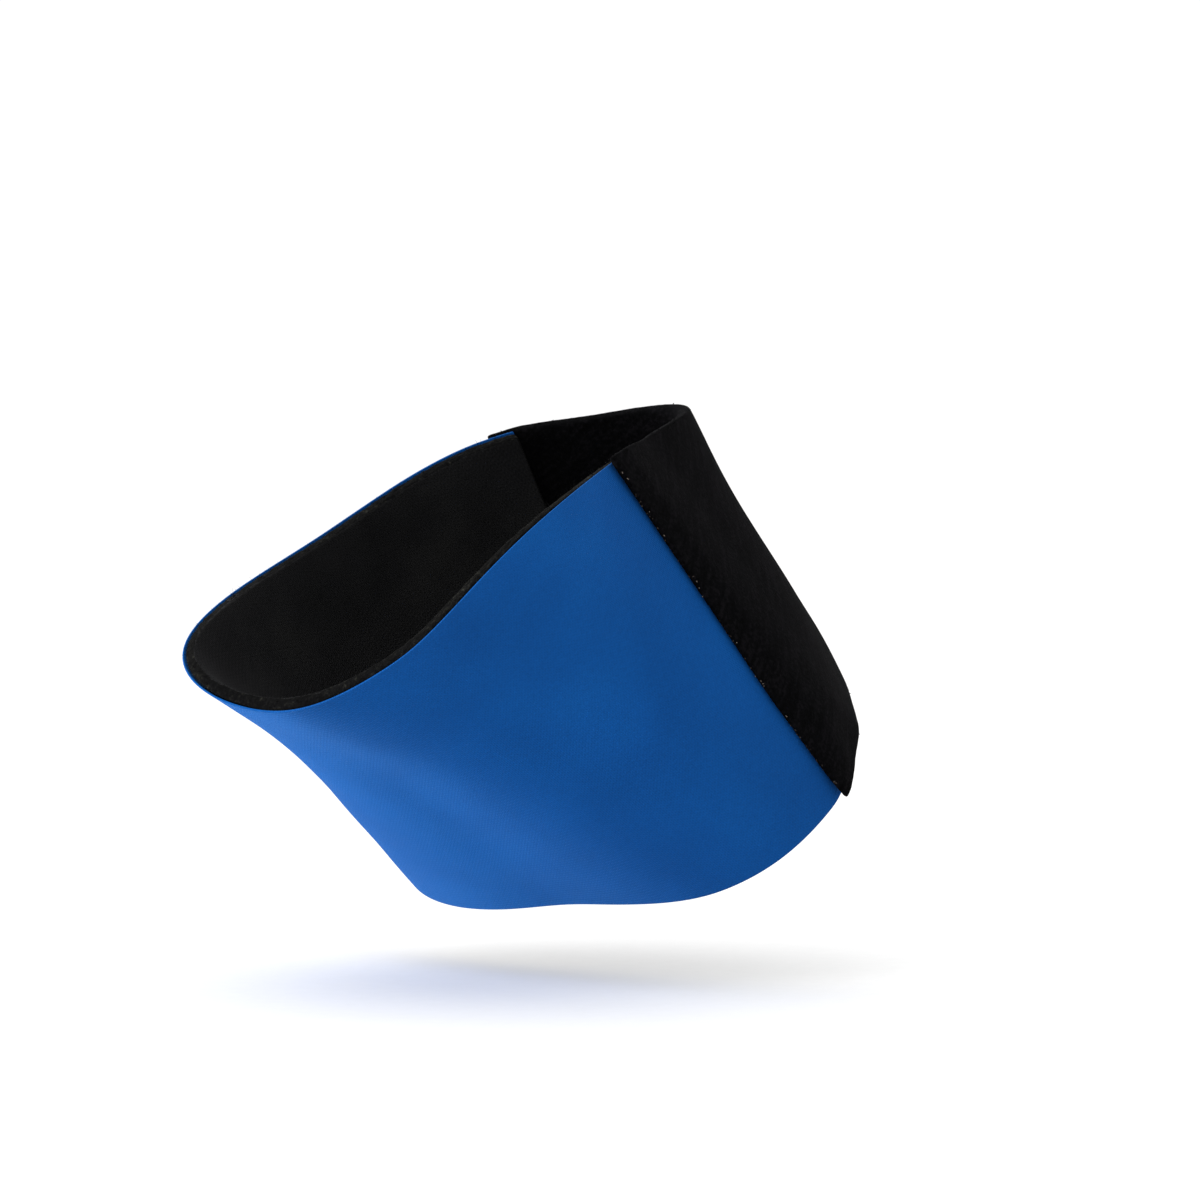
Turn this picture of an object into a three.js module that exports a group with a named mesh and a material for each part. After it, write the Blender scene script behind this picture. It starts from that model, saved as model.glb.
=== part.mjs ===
// Arch support sleeve, kept in the form that it has on a left foot with the heel raised.
// Millimetres. +X runs forward to the toes, +Y to the lateral side, which is the little toe's, +Z up.
// The origin is the middle of the hollow, halfway between the rear and the front edge.
import * as THREE from 'three';

// How the sleeve sits
const HEEL_RAISE = 26.5;        // degrees between the sole line and the level
const REAR_LEAN = 34;           // degrees that the rear edge leans forward from square to the sole
const FRONT_LEAN = 25;          // the same for the front edge

// The hollow that the foot fills
const SOLE_LENGTH = 93;         // from the rear edge to the front edge along the sole
const REAR_HEIGHT = 105;        // of the rear opening, measured in its own plane
const FRONT_HEIGHT = 62;
const REAR_HALF_WIDTH = 30.5;
const FRONT_HALF_WIDTH = 44;

// The wall
const CORE_THICKNESS = 2.4;     // black foam with its lining
const FACE_THICKNESS = 0.4;     // blue knitted face
const CLEARANCE = 0.2;          // between one piece and the next

// The panel over the instep
const PANEL_THICKNESS = 2.7;
const PANEL_EDGE_THICKNESS = 1.4;  // where its pile is pressed flat, at its cut borders
const PANEL_EDGE_WIDTH = 14;    // in which it gains its full thickness
const PANEL_MEDIAL_REACH = 56;  // from the top line down the medial side, at the rear
const PANEL_LATERAL_REACH = 34; // from the top line down the lateral side
const PANEL_LAP = 5;            // how far the panel lies on each end of the wall
const PANEL_RAMP = 17;          // in which it comes down from the wall to the foot
const PANEL_OVERHANG = 0.2;     // how far its front edge stands past the wall's

// How finely the solids are drawn
const ROWS = 14;                // from the rear edge to the front edge
const WALL_COLUMNS = 60;        // round the foot
const PANEL_COLUMNS = 36;
const RING_STEPS = 240;         // the places that an outline's length is added up over

// The foot's outline at four sections, from the rear edge to the front edge. The reaches are taken
// from the middle of the section, as shares of its half width and half height. spread is the share
// of the way from the rear to the front half width, and shift moves the section to the lateral side
// by a share of the front half width. border is the panel's medial reach there, as a share of its
// reach at the rear.
const SECTIONS = [
  {
    spread: 0, shift: -0.02, border: 0.99,
    lateral: 0.97, lateralTop: 0.89, top: 1.05, medialTop: 0.96,
    medial: 1.11, medialSole: 0.95, sole: 0.95, lateralSole: 1.06,
  },
  {
    spread: 0.15, shift: -0.01, border: 0.965,
    lateral: 0.99, lateralTop: 0.90, top: 1.03, medialTop: 1.00,
    medial: 1.04, medialSole: 0.95, sole: 0.90, lateralSole: 1.12,
  },
  {
    spread: 0.67, shift: 0.02, border: 1.075,
    lateral: 1.00, lateralTop: 0.90, top: 1.06, medialTop: 1.01,
    medial: 1.00, medialSole: 0.96, sole: 0.93, lateralSole: 1.24,
  },
  {
    spread: 1, shift: 0.07, border: 1.09,
    lateral: 1.00, lateralTop: 0.90, top: 1.12, medialTop: 0.99,
    medial: 0.99, medialSole: 1.00, sole: 1.00, lateralSole: 1.40,
  },
];

// The eight ways in which a section reaches, in order round it from the lateral side over the top
const WAYS = ['lateral', 'lateralTop', 'top', 'medialTop', 'medial', 'medialSole', 'sole', 'lateralSole'];

// How far each cut edge lies ahead of its flat section, as shares of the sole length
const EDGES = {
  rear: {
    lateral: 0, lateralTop: 0, top: 0.10, medialTop: -0.01,
    medial: -0.11, medialSole: 0.02, sole: 0.05, lateralSole: -0.05,
  },
  front: {
    lateral: 0, lateralTop: 0, top: 0.03, medialTop: -0.018,
    medial: -0.004, medialSole: 0.026, sole: -0.006, lateralSole: -0.01,
  },
};

const TOP = 2 / WAYS.length;    // where the top line lies, as a share of the way round

// A smooth curve through four neighbouring values
function smooth(before, from, to, after, share) {
  const slope = (to - before) * share;
  const bend = (2 * before - 5 * from + 4 * to - after) * share ** 2;
  const twist = (3 * from - before - 3 * to + after) * share ** 3;
  return (2 * from + slope + bend + twist) / 2;
}

// The value of a list along the sleeve, where 0 is the rear edge of the wall and 1 its front edge
function alongSleeve(values, place) {
  const last = values.length - 1;
  const step = THREE.MathUtils.clamp(Math.floor(place * last), 0, last - 1);
  const before = step > 0 ? values[step - 1] : 2 * values[0] - values[1];
  const after = step < last - 1 ? values[step + 2] : 2 * values[last] - values[last - 1];
  return smooth(before, values[step], values[step + 1], after, place * last - step);
}

// The value of the eight ways at a share of the way round
function roundFoot(values, turn) {
  const count = values.length;
  const place = (turn - Math.floor(turn)) * count;
  const step = Math.floor(place) % count;
  const near = (shift) => values[(step + shift + count) % count];
  return smooth(near(-1), near(0), near(1), near(2), place - Math.floor(place));
}

function mix(from, to, share) {
  return from + (to - from) * share;
}

const column = (name) => SECTIONS.map((row) => row[name]);
const waysOf = (row) => WAYS.map((way) => row[way]);
const rearEdge = waysOf(EDGES.rear);
const frontEdge = waysOf(EDGES.front);

// A point of the foot's surface, before the sleeve is moved to its origin
function footPoint(place, turn) {
  const reach = roundFoot(WAYS.map((way) => alongSleeve(column(way), place)), turn);
  const spread = alongSleeve(column('spread'), place);
  const shift = alongSleeve(column('shift'), place) * FRONT_HALF_WIDTH;
  const halfWidth = mix(REAR_HALF_WIDTH, FRONT_HALF_WIDTH, spread);
  const halfHeight = mix(REAR_HEIGHT, FRONT_HEIGHT, place) / 2;
  const lean = THREE.MathUtils.degToRad(mix(REAR_LEAN, FRONT_LEAN, place));
  const raise = THREE.MathUtils.degToRad(HEEL_RAISE);
  const angle = 2 * Math.PI * turn;
  const height = halfHeight * (1 + reach * Math.sin(angle));
  const edge = mix(roundFoot(rearEdge, turn), roundFoot(frontEdge, turn), place);
  const forward = SOLE_LENGTH * (place + edge) + height * Math.sin(lean);
  const up = height * Math.cos(lean);
  return new THREE.Vector3(
    forward * Math.cos(raise) + up * Math.sin(raise),
    shift + halfWidth * reach * Math.cos(angle),
    up * Math.cos(raise) - forward * Math.sin(raise),
  );
}

// The share of the way round that lies a length from the top line, measured on the foot's surface.
// Lengths down the medial side are positive.
const turnTables = new Map();
function turnTable(place) {
  if (turnTables.has(place)) {
    return turnTables.get(place);
  }
  const lengths = [0];
  let last = footPoint(place, TOP);
  for (let step = 1; step <= RING_STEPS; step += 1) {
    const next = footPoint(place, TOP + step / RING_STEPS);
    lengths.push(lengths[step - 1] + next.distanceTo(last));
    last = next;
  }
  turnTables.set(place, lengths);
  return lengths;
}

function turnAt(lengths, length) {
  const girth = lengths[RING_STEPS];
  const wanted = length < 0 ? length + girth : length;
  const step = Math.min(lengths.findIndex((value) => value > wanted), RING_STEPS);
  const share = (wanted - lengths[step - 1]) / (lengths[step] - lengths[step - 1]);
  return TOP + (step - 1 + share) / RING_STEPS;
}

// The outward direction of a surface, from its neighbouring points
function outward(surface, place, turn) {
  const nudge = 0.002;
  const back = surface(place - nudge, turn);
  const ahead = surface(place + nudge, turn);
  const over = surface(place, turn + nudge);
  const under = surface(place, turn - nudge);
  return ahead.sub(back).cross(over.sub(under)).negate().normalize();
}

const seat = new THREE.Vector3();
for (let step = 0; step < RING_STEPS; step += 1) {
  seat.add(footPoint(0.5, step / RING_STEPS));
}
seat.divideScalar(RING_STEPS);

// A surface that lies a height above the foot
function lifted(height) {
  return (place, turn) => {
    const normal = outward(footPoint, place, turn);
    return footPoint(place, turn).addScaledVector(normal, height(place, turn)).sub(seat);
  };
}

// One closed solid between an inner surface and another one a thickness outside it. thickness is
// given for a length in from the nearer border. start and end give the lengths from the top line
// between which the sheet lies, for a place along the sleeve. front is the place of its front edge.
function sheet(name, material, { inner, thickness, start, end, front, columns }) {
  const positions = [];
  for (let row = 0; row <= ROWS; row += 1) {
    const place = front * row / ROWS;
    const lengths = turnTable(place);
    for (let step = 0; step <= columns; step += 1) {
      const from = start(place, lengths);
      const to = end(place, lengths);
      const length = mix(from, to, step / columns);
      const turn = turnAt(lengths, length);
      const point = inner(place, turn);
      const depth = thickness(Math.min(length - from, to - length));
      positions.push(point, point.clone().addScaledVector(outward(inner, place, turn), depth));
    }
  }
  const at = (row, step, side) => (row * (columns + 1) + step) * 2 + side;
  const faces = [];
  const quad = (a, b, c, d) => faces.push(a, b, c, a, c, d);
  for (let row = 0; row < ROWS; row += 1) {
    for (let step = 0; step < columns; step += 1) {
      quad(at(row, step, 1), at(row, step + 1, 1), at(row + 1, step + 1, 1), at(row + 1, step, 1));
      quad(at(row, step, 0), at(row + 1, step, 0), at(row + 1, step + 1, 0), at(row, step + 1, 0));
    }
    quad(at(row, 0, 0), at(row, 0, 1), at(row + 1, 0, 1), at(row + 1, 0, 0));
    quad(at(row, columns, 1), at(row, columns, 0), at(row + 1, columns, 0), at(row + 1, columns, 1));
  }
  for (let step = 0; step < columns; step += 1) {
    quad(at(0, step, 0), at(0, step + 1, 0), at(0, step + 1, 1), at(0, step, 1));
    quad(at(ROWS, step, 1), at(ROWS, step + 1, 1), at(ROWS, step + 1, 0), at(ROWS, step, 0));
  }
  const geometry = new THREE.BufferGeometry().setFromPoints(positions);
  geometry.setIndex(faces);
  geometry.computeVertexNormals();
  const mesh = new THREE.Mesh(geometry, material);
  mesh.name = name;
  return mesh;
}

// Where the panel and the wall end, as lengths from the top line
const panelMedial = (place) => PANEL_MEDIAL_REACH * alongSleeve(column('border'), place);
const panelLateral = () => -PANEL_LATERAL_REACH;
const wallMedial = (place) => panelMedial(place) - PANEL_LAP;
const wallLateral = (place, lengths) => lengths[RING_STEPS] + panelLateral() + PANEL_LAP;

// The panel lies on the wall at its two borders. Between them it runs straight down to the foot, which
// curves away under it, so its height over the foot falls as the square of what is left of the ramp.
const ON_WALL = CORE_THICKNESS + CLEARANCE + FACE_THICKNESS + CLEARANCE;
function panelHeight(place, turn) {
  const lengths = turnTable(place);
  const girth = lengths[RING_STEPS];
  const step = (turn - TOP + 1) % 1 * RING_STEPS;
  const below = Math.floor(step);
  const length = mix(lengths[below], lengths[below + 1], step - below);
  const past = length < girth / 2
    ? wallMedial(place) - length - CLEARANCE
    : length - wallLateral(place, lengths) - CLEARANCE;
  const left = 1 - THREE.MathUtils.clamp(past / PANEL_RAMP, 0, 1);
  return ON_WALL * left ** 2;
}

function panelThickness(fromBorder) {
  const gained = THREE.MathUtils.smoothstep(fromBorder, 0, PANEL_EDGE_WIDTH);
  return mix(PANEL_EDGE_THICKNESS, PANEL_THICKNESS, gained);
}

const foam = new THREE.MeshStandardMaterial({ color: '#111114', roughness: 0.95, metalness: 0 });
const knit = new THREE.MeshStandardMaterial({ color: '#104f98', roughness: 0.75, metalness: 0 });
const loopPile = new THREE.MeshStandardMaterial({ color: '#0d0d0e', roughness: 1, metalness: 0 });

const onFoot = lifted(() => 0);
const onCore = lifted(() => CORE_THICKNESS + CLEARANCE);
const overTheInstep = lifted(panelHeight);

const sleeve = new THREE.Group();
sleeve.add(sheet('foam_core', foam, {
  inner: onFoot,
  thickness: () => CORE_THICKNESS,
  start: wallMedial,
  end: wallLateral,
  front: 1,
  columns: WALL_COLUMNS,
}));
sleeve.add(sheet('neoprene_face', knit, {
  inner: onCore,
  thickness: () => FACE_THICKNESS,
  start: wallMedial,
  end: wallLateral,
  front: 1,
  columns: WALL_COLUMNS,
}));
sleeve.add(sheet('instep_panel', loopPile, {
  inner: overTheInstep,
  thickness: panelThickness,
  start: panelLateral,
  end: panelMedial,
  front: 1 + PANEL_OVERHANG / SOLE_LENGTH,
  columns: PANEL_COLUMNS,
}));

export default sleeve;
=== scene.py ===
import math
import random

import bpy
from mathutils import Matrix, Vector, noise


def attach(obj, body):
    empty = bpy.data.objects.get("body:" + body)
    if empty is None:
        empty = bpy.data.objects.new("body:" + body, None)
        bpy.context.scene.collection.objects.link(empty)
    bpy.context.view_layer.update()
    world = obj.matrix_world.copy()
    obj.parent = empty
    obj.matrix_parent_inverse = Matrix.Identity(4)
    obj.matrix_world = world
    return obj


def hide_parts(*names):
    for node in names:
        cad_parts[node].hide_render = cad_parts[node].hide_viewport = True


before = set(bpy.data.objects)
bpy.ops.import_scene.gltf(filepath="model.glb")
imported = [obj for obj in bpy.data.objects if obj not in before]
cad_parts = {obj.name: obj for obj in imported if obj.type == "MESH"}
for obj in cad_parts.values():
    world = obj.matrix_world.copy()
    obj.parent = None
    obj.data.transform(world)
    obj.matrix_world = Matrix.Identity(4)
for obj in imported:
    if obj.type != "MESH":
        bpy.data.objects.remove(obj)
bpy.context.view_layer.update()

MM = 0.001

# The hollow's middle at the rear and the front opening, and the directions across it
REAR_MIDDLE = Vector((-0.031, 0.001, 0.0175))
FRONT_MIDDLE = Vector((0.025, 0.001, -0.018))
ALONG = (FRONT_MIDDLE - REAR_MIDDLE).normalized()
LATERAL = Vector((0, 1, 0))
INSTEP = ALONG.cross(LATERAL).normalized()
if INSTEP.z < 0:
    INSTEP.negate()

# The camera, where the photo's outlines fit the solids
CAMERA_PLACE = Vector((-0.7313, -0.8068, 0.07229))
CAMERA_TURN = math.radians(42.6)      # from +Y towards +X
CAMERA_DIP = math.radians(3.2)
CAMERA_LENS, CAMERA_SENSOR = 175.36, 36      # in millimetres

FLOOR_HEIGHT = -0.060
FLOOR_RADIUS = 9.0

CLOTH_UNIT = 100 * MM                 # one unit of the cloth's own map


def from_hex(code):
    """An sRGB hex colour as linear red, green, blue and alpha."""
    parts = [int(code[i:i + 2], 16) / 255 for i in (1, 3, 5)]
    linear = [c / 12.92 if c <= 0.04045 else ((c + 0.055) / 1.055) ** 2.4 for c in parts]
    return (*linear, 1.0)


# Materials

def new_material(name):
    """An empty material: its node tree and its surface shader."""
    material = bpy.data.materials.new(name)
    material.use_nodes = True
    tree = material.node_tree
    return material, tree, tree.nodes["Principled BSDF"]


def add(tree, kind, inputs=None, **settings):
    """Adds a node. inputs maps a socket to the value it holds or to the output it is fed from."""
    made = tree.nodes.new(kind)
    for key, value in settings.items():
        setattr(made, key, value)
    feed(tree, made, inputs or {})
    return made


def feed(tree, made, inputs):
    """Sets a node's sockets to values, or links outputs to them."""
    for key, value in inputs.items():
        if isinstance(value, bpy.types.NodeSocket):
            tree.links.new(value, made.inputs[key])
        else:
            made.inputs[key].default_value = value


def ramp(tree, source, stops):
    """Colours along a value, as pairs of place and hex colour."""
    made = add(tree, "ShaderNodeValToRGB", {"Fac": source})
    first, last = made.color_ramp.elements
    first.position, first.color = stops[0][0], from_hex(stops[0][1])
    last.position, last.color = stops[-1][0], from_hex(stops[-1][1])
    for place, code in stops[1:-1]:
        made.color_ramp.elements.new(place).color = from_hex(code)
    return made.outputs["Color"]


def grain(tree, cells, detail, roughness):
    """Noise with so many cells to the metre."""
    place = add(tree, "ShaderNodeTexCoord")
    made = add(tree, "ShaderNodeTexNoise", {
        "Vector": place.outputs["Object"],
        "Scale": cells,
        "Detail": detail,
        "Roughness": roughness,
    })
    return made.outputs["Fac"]


# A jersey's stitches are V-shaped and stand in columns, the wales, with a groove between them
STITCH_SLOPE = 1.1                    # how far a strand rises across half a wale, in courses
STRAND_HEIGHT = 0.5                   # beside a groove's depth of one


def knit_relief(tree, stitch_width):
    """The height of a jersey's face, for stitches of a width in millimetres."""
    layout = add(tree, "ShaderNodeUVMap", uv_map="cloth")
    apart = add(tree, "ShaderNodeSeparateXYZ", {"Vector": layout.outputs["UV"]})
    count = CLOTH_UNIT / (stitch_width * MM)
    wales = add(tree, "ShaderNodeMath", {0: apart.outputs["X"], 1: count}, operation="MULTIPLY")
    courses = add(tree, "ShaderNodeMath", {0: apart.outputs["Y"], 1: count}, operation="MULTIPLY")
    within = add(tree, "ShaderNodeMath", {0: wales.outputs[0]}, operation="FRACT")
    offset = add(tree, "ShaderNodeMath", {0: within.outputs[0], 1: 0.5}, operation="SUBTRACT")
    from_middle = add(tree, "ShaderNodeMath", {0: offset.outputs[0]}, operation="ABSOLUTE")
    strand = add(
        tree, "ShaderNodeMath",
        {0: from_middle.outputs[0], 1: STITCH_SLOPE, 2: courses.outputs[0]},
        operation="MULTIPLY_ADD",
    )
    strand_turn = add(
        tree, "ShaderNodeMath", {0: strand.outputs[0], 1: 2 * math.pi}, operation="MULTIPLY",
    )
    strand_height = add(tree, "ShaderNodeMath", {0: strand_turn.outputs[0]}, operation="SINE")
    groove_turn = add(
        tree, "ShaderNodeMath", {0: from_middle.outputs[0], 1: 2 * math.pi}, operation="MULTIPLY",
    )
    groove = add(tree, "ShaderNodeMath", {0: groove_turn.outputs[0]}, operation="SINE")
    stitch = add(
        tree, "ShaderNodeMath",
        {0: strand_height.outputs[0], 1: STRAND_HEIGHT, 2: groove.outputs[0]},
        operation="MULTIPLY_ADD",
    )
    return stitch.outputs[0]


def jersey_on_neoprene():
    """Nylon jersey glued to neoprene foam: a dyed, very fine knit that the foam keeps smooth.
    It gives the eye an even, matt blue with a faint grain, paler where it is seen edge on."""
    material, tree, shader = new_material("jersey_on_neoprene")
    # The real stitches are about 0.5 mm wide. They are drawn 0.8 mm wide, or they wouldn't show.
    stitch = knit_relief(tree, 0.8)
    yarn = grain(tree, cells=1400, detail=3, roughness=0.6)
    dye = grain(tree, cells=28, detail=3, roughness=0.55)
    base = ramp(tree, dye, [(0.30, "#083e7a"), (0.50, "#094382"), (0.72, "#0b498a")])
    # Painted shade: the colour is darkened by up to a tenth where the stitches' relief is low, and
    # lightened a little on its crests, as a faint painted highlight
    painted_stitch_shade = add(
        tree, "ShaderNodeMapRange",
        {"Value": stitch, "From Min": -0.5, "From Max": 1.5, "To Min": 0.90, "To Max": 1.04},
    )
    yarn_shade = add(
        tree, "ShaderNodeMapRange",
        {"Value": yarn, "From Min": 0.3, "From Max": 0.7, "To Min": 0.94, "To Max": 1.06},
    )
    # The painted stitch shade, times the yarn's own tone that differs at random
    shade = add(
        tree, "ShaderNodeMath",
        {0: painted_stitch_shade.outputs[0], 1: yarn_shade.outputs[0]}, operation="MULTIPLY",
    )
    colour = add(
        tree, "ShaderNodeVectorMath",
        {0: base, "Scale": shade.outputs[0]}, operation="SCALE",
    )
    relief = add(
        tree, "ShaderNodeMath",
        {0: yarn, 1: 0.8, 2: stitch}, operation="MULTIPLY_ADD",
    )
    bump = add(
        tree, "ShaderNodeBump",
        {"Height": relief.outputs[0], "Strength": 0.35, "Distance": 0.00012},
    )
    feed(tree, shader, {
        "Base Color": colour.outputs[0],
        "Roughness": 0.78,
        "IOR": 1.5,
        "Specular IOR Level": 0.04,
        "Sheen Weight": 0.40,
        "Sheen Roughness": 0.35,
        "Sheen Tint": from_hex("#4a8ee0"),
        "Normal": bump.outputs["Normal"],
    })
    return material


def lining_jersey():
    """Black nylon jersey glued to the inner side of the foam: a smooth, fine knit.
    It gives the eye a dull black that shows its columns of stitches only faintly."""
    material, tree, shader = new_material("lining_jersey")
    # The real stitches are about 0.5 mm wide. They are drawn 1 mm wide, or they wouldn't show.
    stitch = knit_relief(tree, 1.0)
    wear = grain(tree, cells=60, detail=3, roughness=0.6)
    base = ramp(tree, wear, [(0.35, "#0c0c0d"), (0.55, "#121213"), (0.75, "#191919")])
    # Painted shade and highlight: the colour is darker where the stitches' relief is low and
    # lighter on its crests
    shade = add(
        tree, "ShaderNodeMapRange",
        {"Value": stitch, "From Min": -0.5, "From Max": 1.5, "To Min": 0.65, "To Max": 1.25},
    )
    colour = add(
        tree, "ShaderNodeVectorMath",
        {0: base, "Scale": shade.outputs[0]}, operation="SCALE",
    )
    bump = add(
        tree, "ShaderNodeBump", {"Height": stitch, "Strength": 0.5, "Distance": 0.00015},
    )
    feed(tree, shader, {
        "Base Color": colour.outputs[0],
        "Roughness": 0.85,
        "IOR": 1.5,
        "Specular IOR Level": 0.08,
        "Sheen Weight": 0.05,
        "Sheen Roughness": 0.4,
        "Sheen Tint": from_hex("#9a9aa2"),
        "Normal": bump.outputs["Normal"],
    })
    return material


FOAM_CELLS = 1900                     # to the metre


def napped_foam():
    """Black chloroprene foam where the sheet is cut through: opened cells and short fibres.
    It gives the eye a dull black band with a fine olive-grey speckle."""
    material, tree, shader = new_material("napped_foam")
    place = add(tree, "ShaderNodeTexCoord")
    cells = add(
        tree, "ShaderNodeTexVoronoi", {"Vector": place.outputs["Object"], "Scale": FOAM_CELLS},
        feature="F1",
    )
    nap = grain(tree, cells=1100, detail=4, roughness=0.7)
    worn = grain(tree, cells=90, detail=2, roughness=0.5)
    mixed = add(
        tree, "ShaderNodeMath",
        {0: worn, 1: 0.35, 2: nap}, operation="MULTIPLY_ADD",
    )
    colour = ramp(
        tree, mixed.outputs[0],
        [(0.50, "#030304"), (0.72, "#070708"), (0.82, "#141412"), (0.97, "#32322c")],
    )
    relief = add(
        tree, "ShaderNodeMath",
        {0: cells.outputs["Distance"], 1: 0.8, 2: nap}, operation="MULTIPLY_ADD",
    )
    bump = add(
        tree, "ShaderNodeBump",
        {"Height": relief.outputs[0], "Strength": 0.6, "Distance": 0.0002},
    )
    feed(tree, shader, {
        "Base Color": colour,
        "Roughness": 0.97,
        "IOR": 1.5,
        "Specular IOR Level": 0.03,
        "Sheen Weight": 0.03,
        "Sheen Roughness": 0.6,
        "Sheen Tint": from_hex("#8a8a80"),
        "Normal": bump.outputs["Normal"],
    })
    return material


def brushed_loop():
    """Black nylon loop fabric, brushed: an open pile of fine loops that swallows the light.
    It gives the eye a matt, nearly pure black with faint grey streaks across the panel."""
    material, tree, shader = new_material("brushed_loop")
    layout = add(tree, "ShaderNodeUVMap", uv_map="cloth")
    # The streaks run round the hollow, about 9 mm long and 1.5 mm wide, which is 11 cells to a
    # unit of the cloth's map the one way and 66 the other
    stretch = add(
        tree, "ShaderNodeMapping", {"Vector": layout.outputs["UV"], "Scale": (1.0, 6.0, 1.0)},
    )
    streaks = add(
        tree, "ShaderNodeTexNoise",
        {"Vector": stretch.outputs["Vector"], "Scale": 11, "Detail": 3, "Roughness": 0.6},
    )
    pile = grain(tree, cells=1300, detail=4, roughness=0.7)
    mixed = add(
        tree, "ShaderNodeMath",
        {0: streaks.outputs["Fac"], 1: 0.7, 2: pile}, operation="MULTIPLY_ADD",
    )
    colour = ramp(tree, mixed.outputs[0], [(0.60, "#020202"), (0.86, "#050506"), (1.00, "#0c0b0d")])
    bump = add(
        tree, "ShaderNodeBump",
        {"Height": pile, "Strength": 0.7, "Distance": 0.0003},
    )
    feed(tree, shader, {
        "Base Color": colour,
        "Roughness": 1.0,
        "IOR": 1.5,
        "Specular IOR Level": 0.02,
        "Sheen Weight": 0.01,
        "Sheen Roughness": 0.5,
        "Sheen Tint": from_hex("#8c8c96"),
        "Normal": bump.outputs["Normal"],
    })
    return material


def cotton_lint():
    """Cotton lint: short ends of fibre, caught along the loop fabric's cut edge.
    It gives the eye a few pale and brownish specks."""
    material, tree, shader = new_material("cotton_lint")
    dust = grain(tree, cells=260, detail=2, roughness=0.5)
    colour = ramp(tree, dust, [(0.35, "#241f1d"), (0.50, "#433b36"), (0.65, "#70675e")])
    feed(tree, shader, {
        "Base Color": colour,
        "Roughness": 0.95,
        "Specular IOR Level": 0.1,
    })
    return material


def studio_floor():
    """Matt white paper, lit evenly: it gives the eye a pale ground with no horizon."""
    material, tree, shader = new_material("studio_floor")
    fibre = grain(tree, cells=300, detail=2, roughness=0.5)
    colour = ramp(tree, fibre, [(0.3, "#fafafa"), (0.7, "#fcfcfc")])
    feed(tree, shader, {
        "Base Color": colour,
        "Roughness": 0.9,
        "Specular IOR Level": 0.1,
    })
    return material


# Shaping

MERGED = 0.01 * MM                    # corners closer than this are one
RIM_ANGLE = math.radians(50)          # an edge sharper than this is a cut rim

# How many cells of noise there are to a metre, in the long and the short waves of worn cloth and
# in the coarse and the fine fraying of a cut rim
LONG_WAVE, SHORT_WAVE = 32, 75
COARSE_FRAY, FINE_FRAY = 900, 2100
WAVES_APART = Vector((5, 2, 9))       # keeps the short waves off the long ones
RIM_FROM = 0.35                       # how far a face turns to an opening before it is a rim


def only(piece):
    """Selects this piece and nothing else."""
    if bpy.context.mode != "OBJECT":
        bpy.ops.object.mode_set(mode="OBJECT")
    bpy.ops.object.select_all(action="DESELECT")
    piece.select_set(True)
    bpy.context.view_layer.objects.active = piece


def cut_from(node, name):
    """A new piece with a CAD node's surface, its loose triangles joined into four-sided faces."""
    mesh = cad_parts[node].data.copy()
    mesh.name = name
    mesh.materials.clear()
    piece = bpy.data.objects.new(name, mesh)
    bpy.context.scene.collection.objects.link(piece)
    only(piece)
    bpy.ops.object.mode_set(mode="EDIT")
    bpy.ops.mesh.select_all(action="SELECT")
    bpy.ops.mesh.remove_doubles(threshold=MERGED)
    bpy.ops.mesh.tris_convert_to_quads(
        face_threshold=math.radians(40), shape_threshold=math.radians(60),
    )
    bpy.ops.object.mode_set(mode="OBJECT")
    return piece


def soften(piece, rim):
    """Rounds the cut rims by a radius and smooths the whole sheet."""
    only(piece)
    bpy.ops.object.mode_set(mode="EDIT")
    bpy.ops.mesh.select_mode(type="EDGE")
    bpy.ops.mesh.select_all(action="DESELECT")
    bpy.ops.mesh.edges_select_sharp(sharpness=RIM_ANGLE)
    bpy.ops.mesh.bevel(offset=rim, segments=2, affect="EDGES")
    bpy.ops.object.mode_set(mode="OBJECT")
    smoother = piece.modifiers.new("smooth", "SUBSURF")
    smoother.levels = 2
    smoother.render_levels = 2
    bpy.ops.object.modifier_apply(modifier=smoother.name)
    bpy.ops.object.shade_smooth()


def tug(piece, pulls):
    """Draws places of the sheet a little way, and what lies within reach of each less and less.
    A pull gives the place, how far it goes forward and outward, and its reach, in millimetres."""
    for place, along, outward, reach in pulls:
        place = Vector(place)
        pull = (ALONG * along + outward_at(place) * outward) * MM
        for vertex in piece.data.vertices:
            share = 1 - (vertex.co - place).length / (reach * MM)
            if share > 0:
                vertex.co += pull * share * share * (3 - 2 * share)
    piece.data.update()


def outward_at(point):
    """The direction away from the middle line of the hollow."""
    from_middle = point - REAR_MIDDLE
    return (from_middle - ALONG * from_middle.dot(ALONG)).normalized()


def settle(piece, swell, ragged=0.0):
    """Lets the sheet rise and sink a little, as worn cloth does, and frays its rims."""
    points = [vertex.co.copy() for vertex in piece.data.vertices]
    normals = [vertex.normal.copy() for vertex in piece.data.vertices]
    settled = []
    for point, normal in zip(points, normals):
        wave = noise.noise(point * LONG_WAVE)
        wave += 0.5 * noise.noise(point * SHORT_WAVE + WAVES_APART)
        move = outward_at(point) * wave * swell
        if ragged:
            rim = abs(normal.dot(ALONG))
            fray = noise.noise(point * COARSE_FRAY) + 0.6 * noise.noise(point * FINE_FRAY)
            move += normal * fray * ragged * max(0.0, rim - RIM_FROM)
        settled.extend(point + move)
    piece.data.vertices.foreach_set("co", settled)
    piece.data.update()


GIRTH_STEPS = 120                     # directions round the hollow


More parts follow.
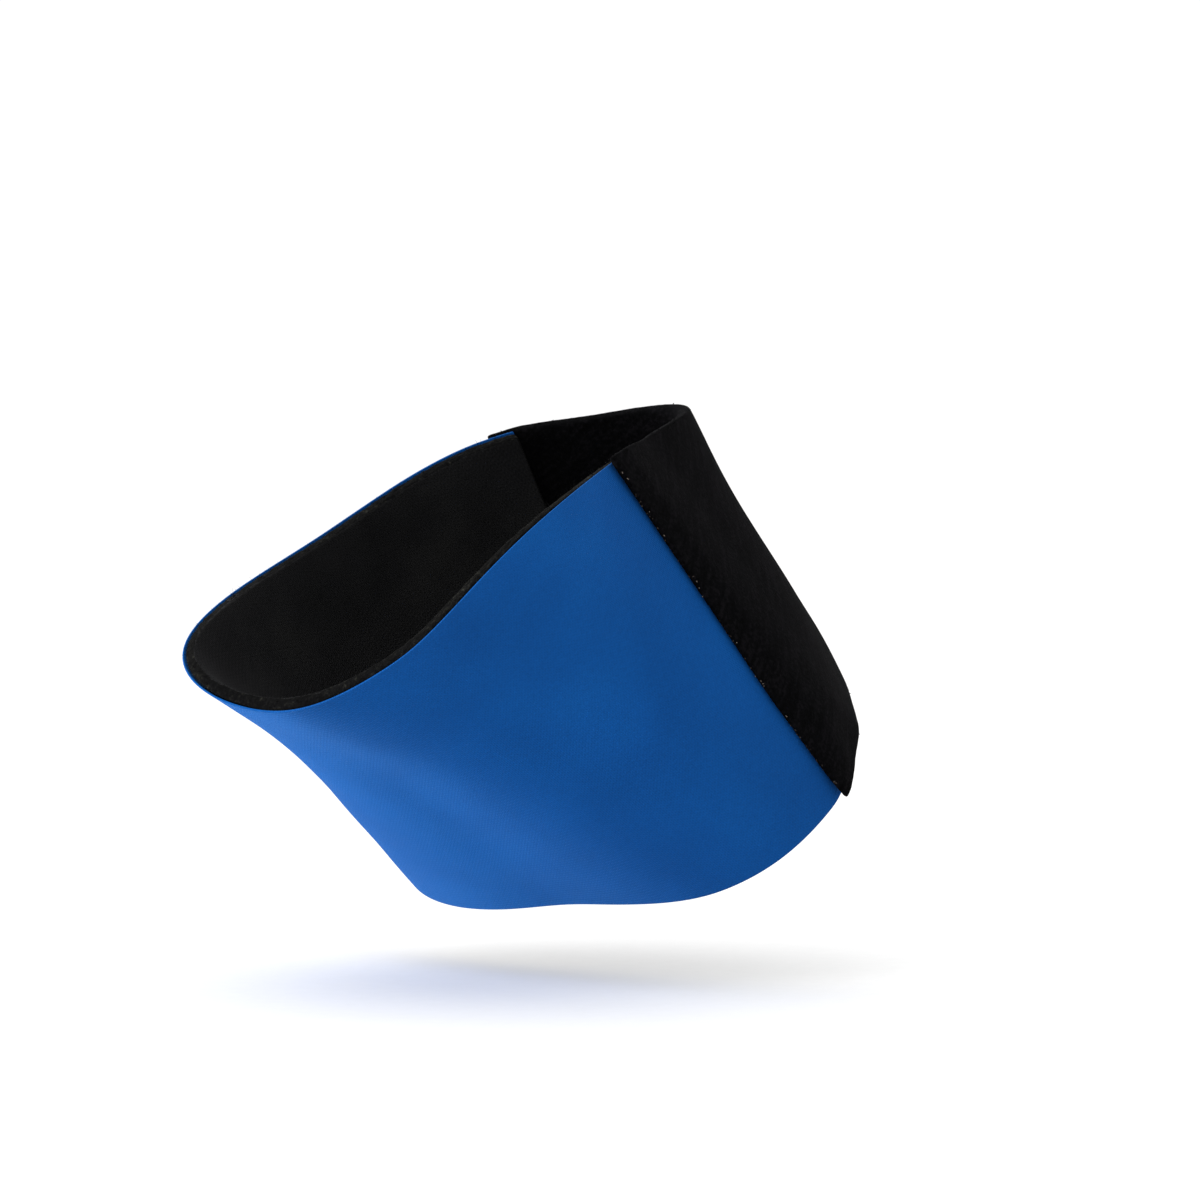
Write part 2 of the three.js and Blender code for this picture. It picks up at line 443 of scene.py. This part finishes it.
def girth_table():
    """The length round the hollow from its top line to each direction."""
    reach = [[] for _ in range(GIRTH_STEPS)]
    for node in ("neoprene_face", "instep_panel"):
        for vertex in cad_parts[node].data.vertices:
            across = vertex.co - REAR_MIDDLE
            turn = math.atan2(across.dot(LATERAL), across.dot(INSTEP)) % (2 * math.pi)
            step = int(turn / (2 * math.pi) * GIRTH_STEPS) % GIRTH_STEPS
            reach[step].append(math.hypot(across.dot(LATERAL), across.dot(INSTEP)))
    radius = [sum(r) / len(r) if r else None for r in reach]
    for step in range(GIRTH_STEPS):
        if radius[step] is None:
            radius[step] = radius[step - 1]
    lengths = [0.0]
    for step in range(GIRTH_STEPS):
        here = (radius[step] + radius[(step + 1) % GIRTH_STEPS]) / 2
        lengths.append(lengths[-1] + here * 2 * math.pi / GIRTH_STEPS)
    return lengths


GIRTH = girth_table()


def round_hollow(point, seam_on_sole):
    """The length round the hollow at a point, to the lateral side from the top line. With the seam
    on the sole, a point of the medial side has a length below zero."""
    across = point - REAR_MIDDLE
    turn = math.atan2(across.dot(LATERAL), across.dot(INSTEP)) / (2 * math.pi)
    whole = turn % 1.0 * GIRTH_STEPS
    step = min(int(whole), GIRTH_STEPS - 1)
    length = GIRTH[step] + (GIRTH[step + 1] - GIRTH[step]) * (whole - step)
    if seam_on_sole and turn < 0:
        length -= GIRTH[-1]
    return length


def lay_out(piece, seam_on_sole=False):
    """The cloth's own map: round the hollow and along it."""
    layer = piece.data.uv_layers.new(name="cloth")
    places = []
    for vertex in piece.data.vertices:
        along = (vertex.co - REAR_MIDDLE).dot(ALONG)
        around = round_hollow(vertex.co, seam_on_sole)
        places.append((around / CLOTH_UNIT, along / CLOTH_UNIT))
    for loop in piece.data.loops:
        layer.data[loop.index].uv = places[loop.vertex_index]


def scatter(name, shape, places):
    """One mesh of many copies of a small shape, each turned and sized by a matrix."""
    corners = [vertex.co.copy() for vertex in shape.data.vertices]
    sides = [tuple(face.vertices) for face in shape.data.polygons]
    points, faces = [], []
    for matrix in places:
        start = len(points)
        points.extend(matrix @ corner for corner in corners)
        faces.extend(tuple(start + i for i in side) for side in sides)
    mesh = bpy.data.meshes.new(name)
    mesh.from_pydata(points, [], faces)
    piece = bpy.data.objects.new(name, mesh)
    bpy.context.scene.collection.objects.link(piece)
    only(piece)
    bpy.ops.object.shade_smooth()
    bpy.data.objects.remove(shape, do_unlink=True)
    return piece


def spots(piece, wanted, count, draw):
    """Points on the faces that are wanted, spread by area, with the faces' outward direction."""
    chosen = [face for face in piece.data.polygons if wanted(face)]
    picked = draw.choices(chosen, weights=[face.area for face in chosen], k=count)
    found = []
    for face in picked:
        corners = [piece.data.vertices[i].co for i in face.vertices]
        a, b = draw.random(), draw.random()
        if len(corners) == 4:
            point = corners[0].lerp(corners[1], a).lerp(corners[3].lerp(corners[2], a), b)
        else:
            if a + b > 1:
                a, b = 1 - a, 1 - b
            point = corners[0] + (corners[1] - corners[0]) * a + (corners[2] - corners[0]) * b
        found.append((point, face.normal.copy()))
    return found


def stand(point, normal, spin, lean, size):
    """Places a small shape with its own up along a normal, leaned, spun and sized."""
    turned = normal.to_track_quat("Z", "Y").to_matrix().to_4x4()
    tilt = Matrix.Rotation(lean, 4, "X")
    twist = Matrix.Rotation(spin, 4, "Z")
    return Matrix.Translation(point) @ turned @ twist @ tilt @ Matrix.Diagonal((*size, 1.0))


YARN_RADIUS = 0.10                    # to a loop's width of one
FIBRE_ROOT, FIBRE_TIP = 0.05, 0.015   # a fibre's radii, to its length of one
FIBRE_BEND = 0.35                     # how far its tip leans


def one_loop():
    """Half a ring of yarn, one unit across, standing on its two ends."""
    bpy.ops.object.select_all(action="DESELECT")
    bpy.ops.mesh.primitive_circle_add(
        vertices=3, radius=YARN_RADIUS, fill_type="NGON", location=(0.5, 0, 0),
    )
    loop = bpy.context.object
    loop.name = "one_loop"
    bpy.ops.object.mode_set(mode="EDIT")
    bpy.ops.mesh.select_all(action="SELECT")
    bpy.ops.mesh.spin(steps=5, angle=math.pi, center=(0, 0, 0), axis=(0, -1, 0))
    bpy.ops.mesh.select_all(action="SELECT")
    bpy.ops.mesh.remove_doubles(threshold=0.001)
    bpy.ops.mesh.normals_make_consistent(inside=False)
    bpy.ops.object.mode_set(mode="OBJECT")
    bpy.ops.object.transform_apply(location=True, rotation=True, scale=True)
    return loop


def one_fibre():
    """A fibre's tapered end, one unit long, bent a little to one side."""
    bpy.ops.object.select_all(action="DESELECT")
    bpy.ops.mesh.primitive_cone_add(
        vertices=3, radius1=FIBRE_ROOT, radius2=FIBRE_TIP, depth=1, location=(0, 0, 0.5),
    )
    fibre = bpy.context.object
    fibre.name = "one_fibre"
    bpy.ops.object.transform_apply(location=True, rotation=True, scale=True)
    bpy.ops.object.mode_set(mode="EDIT")
    for height in (0.35, 0.7):
        bpy.ops.mesh.select_all(action="SELECT")
        bpy.ops.mesh.bisect(plane_co=(0, 0, height), plane_no=(0, 0, 1))
    bpy.ops.object.mode_set(mode="OBJECT")
    for vertex in fibre.data.vertices:
        vertex.co.x += FIBRE_BEND * vertex.co.z ** 2
    return fibre


def one_fleck():
    """A fleck of lint, one unit long."""
    bpy.ops.object.select_all(action="DESELECT")
    bpy.ops.mesh.primitive_ico_sphere_add(subdivisions=1, radius=0.5)
    fleck = bpy.context.object
    fleck.name = "one_fleck"
    bpy.ops.object.transform_apply(location=True, rotation=True, scale=True)
    return fleck


# The pieces

SWELL = 0.25 * MM                     # how far the worn cloth rises and sinks

# The radii that the cut rims are rounded by, and how far they are frayed
FOAM_RIM, FACE_RIM, PANEL_RIM = 0.55 * MM, 0.12 * MM, 0.6 * MM
FOAM_FRAY, PANEL_FRAY = 0.35 * MM, 0.2 * MM

LOOPS, LOOP_SEED = 4200, 11
FIBRES, FIBRE_SEED = 420, 23
FLECKS, FLECK_SEED = 55, 37
ROOTED = 0.1 * MM                     # how deep the loops and fibres start in the cloth

# How squarely a face has to look inward, outward or to the rear, as a cosine
SQUARELY, REAR_SQUARELY = 0.5, 0.55
BORDER_TILT = 0.6                     # a face of a border looks less squarely outward than this

# Where the wall and the panel on it are pressed in, at their front edge
PRESSED = (((0.0375, -0.0422, -0.0182), 0.0, -1.8, 12),)
# Where the panel alone lies a little off its solid
PANEL_PULLS = (
    ((-0.0178, -0.0335, 0.0378), -1.5, 0.4, 22),     # its rear corner covers the wall's edge
    ((0.0308, -0.0448, -0.0246), -0.2, 0.9, 6.5),    # its front corner stands off the wall
    ((0.0545, -0.0165, 0.0035), 0.0, 0.6, 14),       # its crest is fuller near the front border
)


def make_foam_lining():
    """The wall of foam, with the lining on its inner side."""
    piece = cut_from("foam_core", "foam_lining")
    soften(piece, FOAM_RIM)
    tug(piece, PRESSED)
    settle(piece, SWELL, ragged=FOAM_FRAY)
    lay_out(piece)
    piece.data.materials.append(napped_foam())
    piece.data.materials.append(lining_jersey())
    for side in piece.data.polygons:
        if side.normal.dot(outward_at(side.center)) < -SQUARELY:
            side.material_index = 1
    return piece


def make_knit_face():
    """The blue jersey on the outside of the wall."""
    piece = cut_from("neoprene_face", "knit_face")
    soften(piece, FACE_RIM)
    tug(piece, PRESSED)
    settle(piece, SWELL)
    lay_out(piece)
    piece.data.materials.append(jersey_on_neoprene())
    return piece


def make_loop_panel():
    """The panel over the instep."""
    piece = cut_from("instep_panel", "loop_panel")
    soften(piece, PANEL_RIM)
    tug(piece, PRESSED + PANEL_PULLS)
    settle(piece, SWELL, ragged=PANEL_FRAY)
    lay_out(piece, seam_on_sole=True)
    piece.data.materials.append(brushed_loop())
    return piece


def on_outside(side):
    """Whether a face looks away from the hollow."""
    return side.normal.dot(outward_at(side.center)) > SQUARELY


def on_rear_rim(side):
    """Whether a face is on the cut edge round the rear opening."""
    return side.normal.dot(ALONG) < -REAR_SQUARELY


def on_medial_border(side):
    """Whether a face of the panel is on its cut edge down the medial side."""
    flat = abs(side.normal.dot(outward_at(side.center)))
    to_an_opening = abs(side.normal.dot(ALONG))
    return side.center.y < 0 and flat < BORDER_TILT and to_an_opening < SQUARELY


def grow_pile(panel):
    """The loops that stand out of the panel's outside."""
    draw = random.Random(LOOP_SEED)
    places = []
    for point, normal in spots(panel, on_outside, LOOPS, draw):
        width = draw.uniform(0.8, 1.4) * MM
        depth = draw.uniform(0.8, 1.1) * MM
        height = draw.uniform(0.4, 0.9) * MM
        spin = draw.uniform(0, math.pi)
        lean = draw.uniform(-0.7, 0.7)
        places.append(stand(point - normal * ROOTED, normal, spin, lean, (width, depth, height)))
    piece = scatter("loop_pile", one_loop(), places)
    piece.data.materials.append(panel.data.materials[0])
    return piece


def fray_rear_rim(foam):
    """The fibres that stand out of the foam's cut edge round the rear opening."""
    draw = random.Random(FIBRE_SEED)
    places = []
    for point, normal in spots(foam, on_rear_rim, FIBRES, draw):
        length = draw.uniform(0.5, 1.4) * MM
        spin = draw.uniform(0, 2 * math.pi)
        lean = draw.uniform(-0.9, 0.9)
        size = (0.8 * MM, 0.8 * MM, length)
        places.append(stand(point - normal * ROOTED, normal, spin, lean, size))
    piece = scatter("edge_fuzz", one_fibre(), places)
    piece.data.materials.append(foam.data.materials[0])
    return piece


def catch_lint(panel):
    """The lint along the panel's medial border."""
    draw = random.Random(FLECK_SEED)
    places = []
    for point, normal in spots(panel, on_medial_border, FLECKS, draw):
        length = draw.uniform(0.25, 0.6) * MM
        width = draw.uniform(0.12, 0.25) * MM
        height = draw.uniform(0.1, 0.2) * MM
        spin = draw.uniform(0, math.pi)
        lean = draw.uniform(-0.3, 0.3)
        places.append(stand(point, normal, spin, lean, (length, width, height)))
    piece = scatter("edge_lint", one_fleck(), places)
    piece.data.materials.append(cotton_lint())
    return piece


foam = make_foam_lining()
face = make_knit_face()
panel = make_loop_panel()
pile = grow_pile(panel)
fuzz = fray_rear_rim(foam)
lint = catch_lint(panel)

for piece, slot in (
    (foam, "foam"), (face, "knit_face"), (panel, "loop_pile"),
    (pile, "loop_pile"), (fuzz, "foam"), (lint, "loop_pile"),
):
    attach(piece, "root")
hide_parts("foam_core")
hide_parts("neoprene_face")
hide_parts("instep_panel")

# The studio

# A light's name and place, its width and height in metres, and its power in watts
LIGHTS = (
    ("key", (-1.0, -0.6, 1.6), 1.2, 1.2, 3),
    ("low_left", (-1.15, 0.75, 0.08), 1.2, 0.22, 34),
    ("low_front", (-1.0, -0.5, 0.08), 1.4, 0.22, 2),
)
SKY = 1.05                            # the strength of the even light from all round

bpy.ops.object.select_all(action="DESELECT")
bpy.ops.mesh.primitive_circle_add(
    vertices=96, radius=FLOOR_RADIUS, fill_type="NGON", location=(0, 0, FLOOR_HEIGHT),
)
floor = bpy.context.object
floor.name = "studio_floor"
floor.data.materials.append(studio_floor())

world = bpy.data.worlds.new("studio")
bpy.context.scene.world = world
world.use_nodes = True
sky = world.node_tree.nodes["Background"]
sky.inputs["Color"].default_value = (1, 1, 1, 1)
sky.inputs["Strength"].default_value = SKY


def soft_light(name, place, width, height, power):
    """An oblong soft light that looks at the sleeve."""
    lamp = bpy.data.lights.new(name, "AREA")
    lamp.shape = "RECTANGLE"
    lamp.size = width
    lamp.size_y = height
    lamp.energy = power
    light = bpy.data.objects.new(name, lamp)
    light.location = place
    light.rotation_euler = (-Vector(place)).to_track_quat("-Z", "Y").to_euler()
    bpy.context.scene.collection.objects.link(light)


for light in LIGHTS:
    soft_light(*light)

camera_data = bpy.data.cameras.new("camera")
camera_data.lens = CAMERA_LENS
camera_data.sensor_width = CAMERA_SENSOR
camera_data.clip_end = 100
camera = bpy.data.objects.new("camera", camera_data)
camera.location = CAMERA_PLACE
sight = Vector((
    math.sin(CAMERA_TURN) * math.cos(CAMERA_DIP),
    math.cos(CAMERA_TURN) * math.cos(CAMERA_DIP),
    -math.sin(CAMERA_DIP),
))
camera.rotation_euler = sight.to_track_quat("-Z", "Y").to_euler()
bpy.context.scene.collection.objects.link(camera)
bpy.context.scene.camera = camera
bpy.context.scene.view_settings.view_transform = "Standard"
